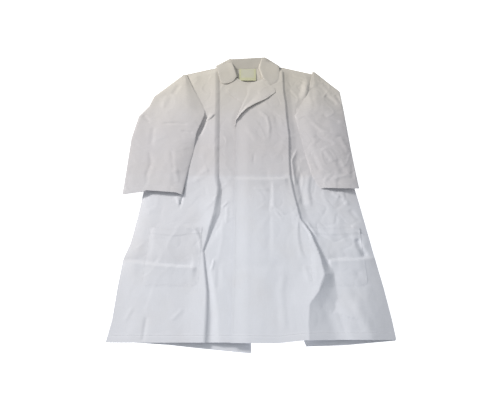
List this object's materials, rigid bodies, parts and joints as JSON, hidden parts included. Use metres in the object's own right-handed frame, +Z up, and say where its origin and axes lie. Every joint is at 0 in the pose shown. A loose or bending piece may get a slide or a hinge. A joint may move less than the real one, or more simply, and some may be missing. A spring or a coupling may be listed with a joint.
{
  "type": "lab coat",
  "caption": "Knee-length white lab coat laid on its back, closed at the front: notched lapel collar, long sleeves, patch pockets and back vent; fronts open and sleeves fold.",
  "frame": {"origin": "centre of the coat's bounding box, at the table it lies on", "axes": "+Z up from the table, +Y from hem to collar, +X to the viewer's right, where the front that lies on top is"},
  "size_m": [0.7365, 1.1412, 0.0196],
  "materials": {
    "coat_cloth": "plain-woven white poly-cotton, matt",
    "button": "white polyester, satin",
    "label": "woven label, dull yellow-green, no lettering"
  },
  "bodies": {
    "coat": {"back_left": "coat_cloth", "back_right": "coat_cloth", "back_neck_facing": "coat_cloth", "neck_label": "label", "side_front_left": "coat_cloth", "side_front_right": "coat_cloth", "pocket_left": "coat_cloth", "pocket_right": "coat_cloth", "collar_back": "coat_cloth"},
    "under_front": {"front_under": "coat_cloth", "facing_under": "coat_cloth", "lapel_under": "coat_cloth", "collar_under": "coat_cloth", "button_1": "button", "button_2": "button", "button_3": "button", "button_4": "button"},
    "over_front": {"front_over": "coat_cloth", "facing_over": "coat_cloth", "lapel_over": "coat_cloth", "collar_over": "coat_cloth"},
    "sleeve_left": {"upper_sleeve_under_left": "coat_cloth", "upper_sleeve_top_left": "coat_cloth"},
    "forearm_left": {"forearm_under_left": "coat_cloth", "forearm_top_left": "coat_cloth"},
    "sleeve_right": {"upper_sleeve_under_right": "coat_cloth", "upper_sleeve_top_right": "coat_cloth"},
    "forearm_right": {"forearm_under_right": "coat_cloth", "forearm_top_right": "coat_cloth"}
  },
  "joints": [
    {"name": "over_fold", "type": "hinge", "parent": "coat", "child": "over_front", "pos_m": [0.16, -0.5405, 0.0104], "axis": [-0.0208, 0.9998, 0], "range_deg": [0, 90]},
    {"name": "under_fold", "type": "hinge", "parent": "coat", "child": "under_front", "pos_m": [-0.092, -0.5405, 0.0104], "axis": [0.0095, -1, 0], "range_deg": [0, 67.5]},
    {"name": "left_shoulder_swing", "type": "hinge", "parent": "coat", "child": "sleeve_left", "pos_m": [-0.214, 0.4725, 0.0179], "axis": [0, 0, -1], "range_deg": [0, 25]},
    {"name": "left_elbow_fold", "type": "hinge", "parent": "sleeve_left", "child": "forearm_left", "pos_m": [-0.252, 0.1625, 0.0197], "axis": [-1, 0, 0], "range_deg": [0, 135]},
    {"name": "right_shoulder_swing", "type": "hinge", "parent": "coat", "child": "sleeve_right", "pos_m": [0.25, 0.4725, 0.0179], "axis": [0, 0, 1], "range_deg": [0, 25]},
    {"name": "right_elbow_fold", "type": "hinge", "parent": "sleeve_right", "child": "forearm_right", "pos_m": [0.288, 0.1625, 0.0197], "axis": [-1, 0, 0], "range_deg": [0, 135]}
  ],
  "couplings": [
    {"joint": "under_fold", "follows": "over_fold", "ratio": 0.75}
  ]
}
